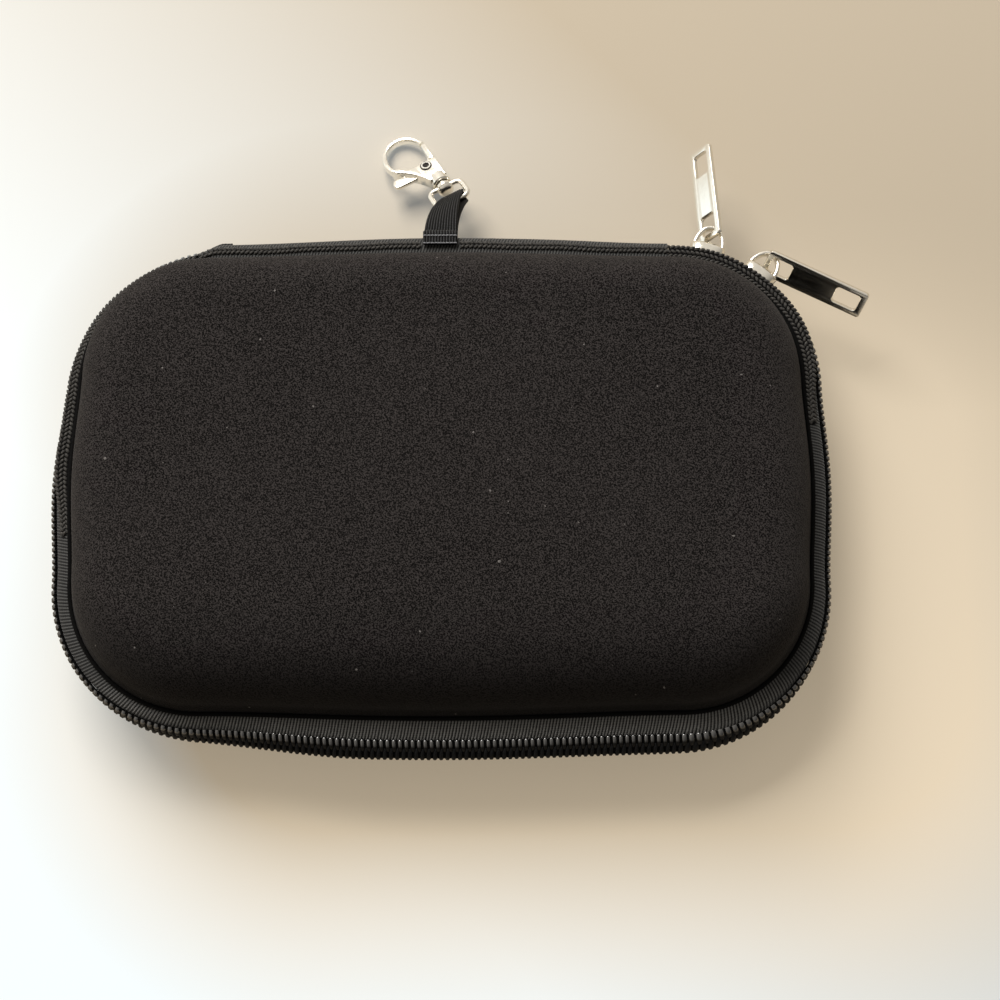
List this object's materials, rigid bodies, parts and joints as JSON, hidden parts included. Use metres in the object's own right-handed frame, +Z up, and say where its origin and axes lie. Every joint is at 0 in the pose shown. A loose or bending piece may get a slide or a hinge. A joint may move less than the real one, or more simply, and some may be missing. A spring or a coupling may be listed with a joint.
{
  "type": "hard-shell zip case",
  "caption": "Low black moulded case with round corners, a fabric hinge, a coil zip with nickel sliders and windowed pulls, and a trigger-hook clasp on a webbing loop.",
  "frame": {"origin": "middle of the case's flat underside, on the table", "axes": "+X to the right of the picture along the long side, +Y to the hinge and clasp at the back, +Z up through the lid"},
  "size_m": [0.1937, 0.1607, 0.0428],
  "materials": {
    "shell_fabric": "matte knitted polyester laminated on moulded EVA foam",
    "lining_fabric": "soft brushed lining cloth and open net",
    "tape_fabric": "woven polyester tape",
    "nylon_coil": "semi-gloss black nylon",
    "nickel_plate": "bright nickel on die-cast zinc",
    "spring_steel": "plain steel",
    "webbing": "ribbed polypropylene webbing"
  },
  "bodies": {
    "base": {"base_shell": "shell_fabric", "base_lining": "lining_fabric", "base_binding": "tape_fabric", "zip_tape_lower": "tape_fabric", "zip_coil_lower": "nylon_coil", "hinge_strip": "tape_fabric", "tape_end_left": "tape_fabric", "tape_end_right": "tape_fabric", "base_strap": "tape_fabric"},
    "lid": {"lid_shell": "shell_fabric", "lid_lining": "lining_fabric", "lid_binding": "tape_fabric", "zip_tape_upper": "tape_fabric", "zip_coil_upper": "nylon_coil", "lid_net": "lining_fabric", "net_hem": "tape_fabric"},
    "slider_a_body": {"slider_a": "nickel_plate"},
    "pull_a_body": {"pull_tab_a": "nickel_plate"},
    "slider_b_body": {"slider_b": "nickel_plate"},
    "pull_b_body": {"pull_tab_b": "nickel_plate"},
    "loop_body": {"webbing_loop": "webbing"},
    "ring_body": {"d_ring": "nickel_plate"},
    "hook": {"hook_body": "nickel_plate", "swivel_pin": "nickel_plate", "trigger_rivet": "spring_steel", "trigger_spring": "spring_steel"},
    "trigger": {"hook_trigger": "nickel_plate"}
  },
  "joints": [
    {"name": "lid_hinge", "type": "hinge", "parent": "base", "child": "lid", "pos_m": [0, 0.0618, 0.021], "axis": [-1, 0, 0], "range_deg": [0, 100], "deforming": ["hinge_strip", "zip_tape_upper", "zip_coil_upper"]},
    {"name": "slider_a_travel", "type": "hinge", "parent": "base", "child": "slider_a_body", "pos_m": [0.0545, 0.024, 0.021], "axis": [0, 0, 1], "range_deg": [0, 7]},
    {"name": "slider_b_travel", "type": "hinge", "parent": "base", "child": "slider_b_body", "pos_m": [0.0545, 0.024, 0.021], "axis": [0, 0, -1], "range_deg": [0, 42]},
    {"name": "pull_a_swing", "type": "hinge", "parent": "slider_a_body", "child": "pull_a_body", "pos_m": [0.06479, 0.0624, 0.021], "axis": [0, 0, 1], "range_deg": [-15, 65]},
    {"name": "pull_b_swing", "type": "hinge", "parent": "slider_b_body", "child": "pull_b_body", "pos_m": [0.07842, 0.05575, 0.021], "axis": [0, 0, 1], "range_deg": [0, 70]},
    {"name": "loop_swing", "type": "hinge", "parent": "base", "child": "loop_body", "pos_m": [-0.0006, 0.0629, 0.021], "axis": [-1, 0, 0], "range_deg": [-60, 0], "deforming": ["webbing_loop"]},
    {"name": "ring_swing", "type": "hinge", "parent": "loop_body", "child": "ring_body", "pos_m": [0.00229, 0.07636, 0.01097], "axis": [-0.8829, -0.4695, 0], "range_deg": [-60, 0]},
    {"name": "hook_swivel", "type": "hinge", "parent": "ring_body", "child": "hook", "pos_m": [-0.0006, 0.0818, 0.0086], "axis": [-0.4383, 0.8243, -0.3584], "continuous": true},
    {"name": "trigger_press", "type": "hinge", "parent": "hook", "child": "trigger", "pos_m": [-0.00451, 0.08659, 0.00627], "axis": [-0.1682, 0.3164, 0.9336], "range_deg": [0, 28], "stiffness_Nm_per_rad": 0.01, "deforming": ["trigger_spring"]}
  ]
}
